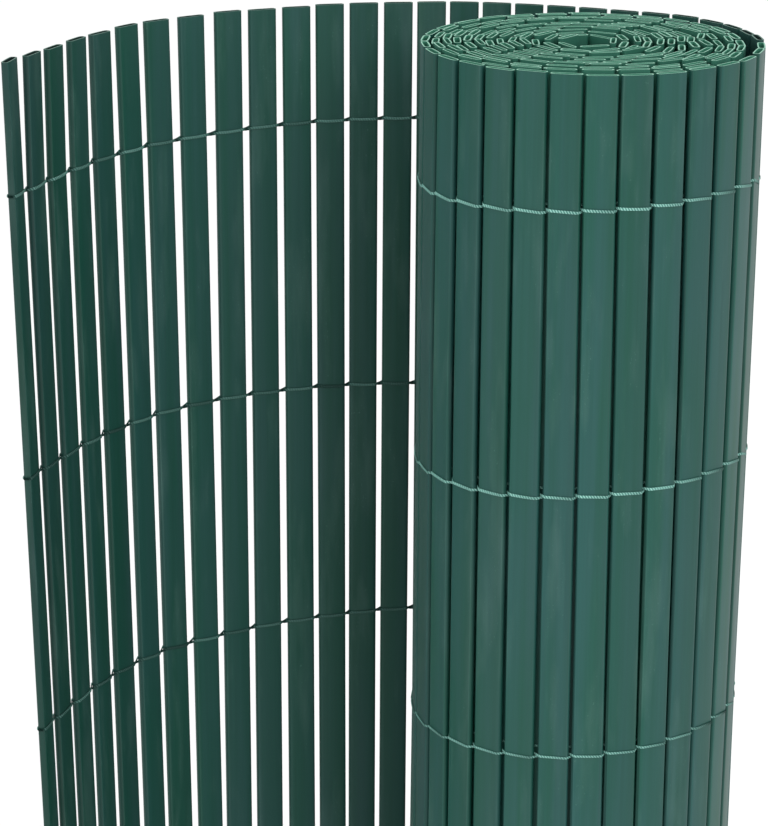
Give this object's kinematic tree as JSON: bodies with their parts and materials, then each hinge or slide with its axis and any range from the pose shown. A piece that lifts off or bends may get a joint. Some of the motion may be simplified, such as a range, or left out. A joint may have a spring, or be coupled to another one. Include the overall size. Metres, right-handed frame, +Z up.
{
  "type": "pvc privacy screen",
  "caption": "Rolled-up garden privacy screen of narrow hollow green plastic slats laced side by side on cords, standing on end with its outer end swung open.",
  "frame": {"origin": "on the ground plane under the middle of the whole part, roll and open end together", "axes": "+Z up along the slats; +X to the roll's side, away from the free edge of the mat; +Y away from the viewer of the closed side of the roll"},
  "size_m": [0.3942, 0.2142, 0.9018],
  "materials": {
    "slat_pvc": "satin extruded, dark green",
    "lacing_cord": "twisted twine, pale blue-green"
  },
  "bodies": {
    "root": {"open_slat_01": "slat_pvc", "open_slat_02": "slat_pvc", "open_slat_03": "slat_pvc", "open_slat_04": "slat_pvc", "open_slat_05": "slat_pvc", "open_slat_06": "slat_pvc", "open_slat_07": "slat_pvc", "open_slat_08": "slat_pvc", "open_slat_09": "slat_pvc", "open_slat_10": "slat_pvc", "open_slat_11": "slat_pvc", "open_slat_12": "slat_pvc", "open_slat_13": "slat_pvc", "open_slat_14": "slat_pvc", "open_slat_15": "slat_pvc", "open_slat_16": "slat_pvc", "open_slat_17": "slat_pvc", "open_slat_18": "slat_pvc", "open_slat_19": "slat_pvc", "open_slat_20": "slat_pvc", "open_slat_21": "slat_pvc", "open_slat_22": "slat_pvc", "open_slat_23": "slat_pvc", "open_slat_24": "slat_pvc", "open_slat_25": "slat_pvc", "open_slat_26": "slat_pvc", "open_slat_27": "slat_pvc", "roll_slats_turn_01": "slat_pvc", "roll_slats_turn_02": "slat_pvc", "roll_slats_turn_03": "slat_pvc", "roll_slats_turn_04": "slat_pvc", "roll_slats_turn_05": "slat_pvc", "roll_slats_turn_06": "slat_pvc", "roll_slats_turn_07": "slat_pvc", "roll_slats_turn_08": "slat_pvc", "roll_slats_turn_09": "slat_pvc", "roll_slats_turn_10": "slat_pvc", "roll_slats_turn_11": "slat_pvc", "roll_slats_turn_12": "slat_pvc", "roll_slats_turn_13": "slat_pvc", "cord_row1_a": "lacing_cord", "cord_row1_b": "lacing_cord", "cord_row2_a": "lacing_cord", "cord_row2_b": "lacing_cord", "cord_row3_a": "lacing_cord", "cord_row3_b": "lacing_cord", "cord_row4_a": "lacing_cord", "cord_row4_b": "lacing_cord", "cord_row5_a": "lacing_cord", "cord_row5_b": "lacing_cord", "cord_row6_a": "lacing_cord", "cord_row6_b": "lacing_cord"}
  },
  "joints": []
}
